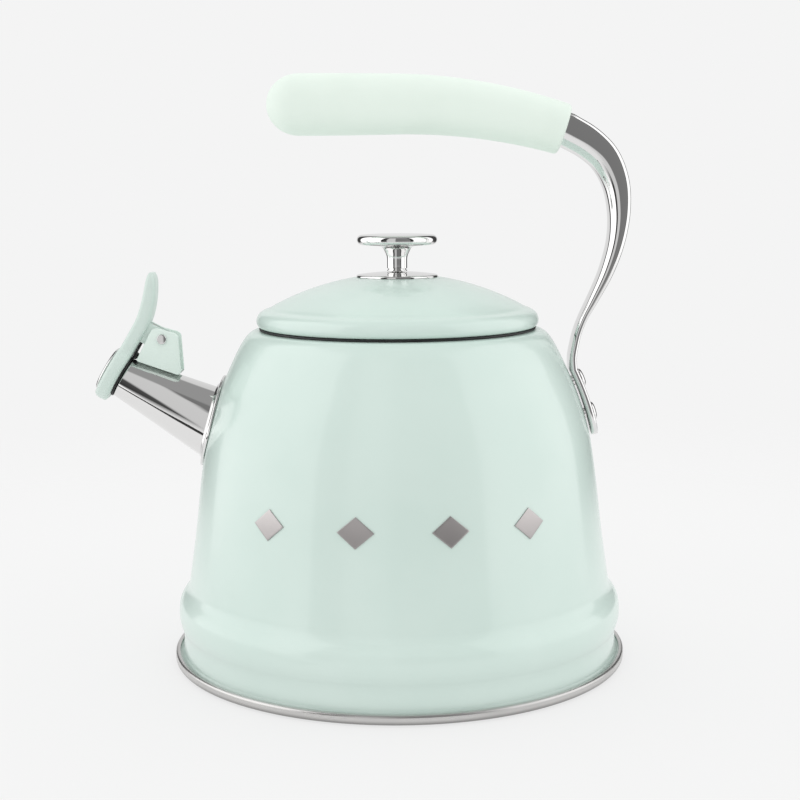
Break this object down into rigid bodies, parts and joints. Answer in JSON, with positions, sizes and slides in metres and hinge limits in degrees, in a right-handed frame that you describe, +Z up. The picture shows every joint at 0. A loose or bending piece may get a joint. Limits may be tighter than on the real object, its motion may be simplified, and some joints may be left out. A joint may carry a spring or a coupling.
{
  "type": "stovetop whistling kettle",
  "caption": "Enamelled steel hob kettle with a lift-out domed lid, a fixed swan-neck handle and a short conical spout closed by a sprung, thumb-opened whistle cap.",
  "frame": {"origin": "centre of the flat underside that stands on the hob", "axes": "+Z up, -X along the way the spout points, +X towards the handle's root, the plane y = 0 is the plane of symmetry"},
  "size_m": [0.2331, 0.1996, 0.2545],
  "materials": {
    "mint_enamel": "gloss enamel",
    "mint_soft_touch": "soft-touch matt",
    "mint_plastic": "satin lacquer",
    "brushed_steel": "brushed",
    "polished_steel": "mirror polished",
    "aluminium": "plain",
    "silicone": "matt"
  },
  "bodies": {
    "kettle": {"body_shell": "mint_enamel", "base_pan": "brushed_steel", "base_core": "aluminium", "base_cap": "brushed_steel", "spout_tube": "polished_steel", "spout_collar": "polished_steel", "cap_bracket": "mint_plastic", "hinge_pin": "polished_steel", "hinge_spring": "brushed_steel", "handle_stem": "polished_steel", "handle_grip": "mint_soft_touch", "handle_rivet_upper": "polished_steel", "handle_rivet_lower": "polished_steel"},
    "lid": {"lid_shell": "mint_enamel", "lid_neck_ring": "brushed_steel", "lid_seal": "silicone", "knob_base": "polished_steel", "knob": "polished_steel", "knob_washer": "brushed_steel", "knob_screw": "brushed_steel"},
    "whistle_cap": {"cap_lever": "mint_plastic", "whistle_front_disc": "polished_steel", "whistle_back_disc": "brushed_steel", "cap_gasket": "silicone"}
  },
  "joints": [
    {"name": "lid_lift", "type": "slide", "parent": "kettle", "child": "lid", "axis": [0, 0, 1], "range_m": [0, 0.036]},
    {"name": "cap_hinge", "type": "hinge", "parent": "kettle", "child": "whistle_cap", "pos_m": [-0.10254, 0, 0.14117], "axis": [0, 1, 0], "range_deg": [0, 55], "stiffness_Nm_per_rad": 0.02, "springref_deg": -34.38, "deforming": ["hinge_spring"]}
  ]
}
